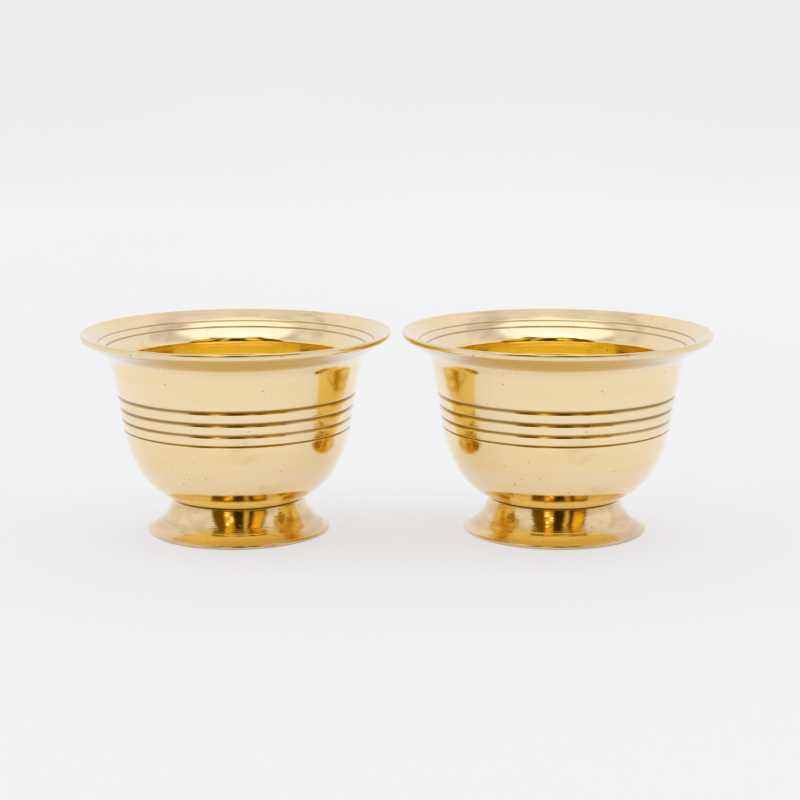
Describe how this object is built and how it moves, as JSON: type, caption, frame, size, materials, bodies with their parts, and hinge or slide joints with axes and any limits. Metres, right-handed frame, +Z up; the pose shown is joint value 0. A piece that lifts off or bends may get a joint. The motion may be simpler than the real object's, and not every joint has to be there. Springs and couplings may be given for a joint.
{
  "type": "pair of footed bowls",
  "caption": "Matching footed brass bowls with flared lips, turned grooves round the wall and hollow foot rings; each stands free and lifts off the table",
  "frame": {"origin": "on the table plane, midway between the two bowls' axes", "axes": "+X from the left bowl to the right bowl, +Y to the back, +Z up along the bowls' axes"},
  "size_m": [0.1626, 0.08, 0.0522],
  "materials": {
    "bowl_brass": "polished, with fine turning lines and light handling marks",
    "foot_brass": "polished, with coarse turning ridges and darker hollows",
    "braze_filler": "dull, as it was brazed"
  },
  "bodies": {
    "left": {"left_bowl": "bowl_brass", "left_foot": "foot_brass", "left_braze_ring": "braze_filler"},
    "right": {"right_bowl": "bowl_brass", "right_foot": "foot_brass", "right_braze_ring": "braze_filler"}
  },
  "joints": [
    {"name": "right_bowl_lift", "type": "slide", "parent": "left", "child": "right", "axis": [0, 0, 1], "range_m": [0, 0.12]}
  ]
}
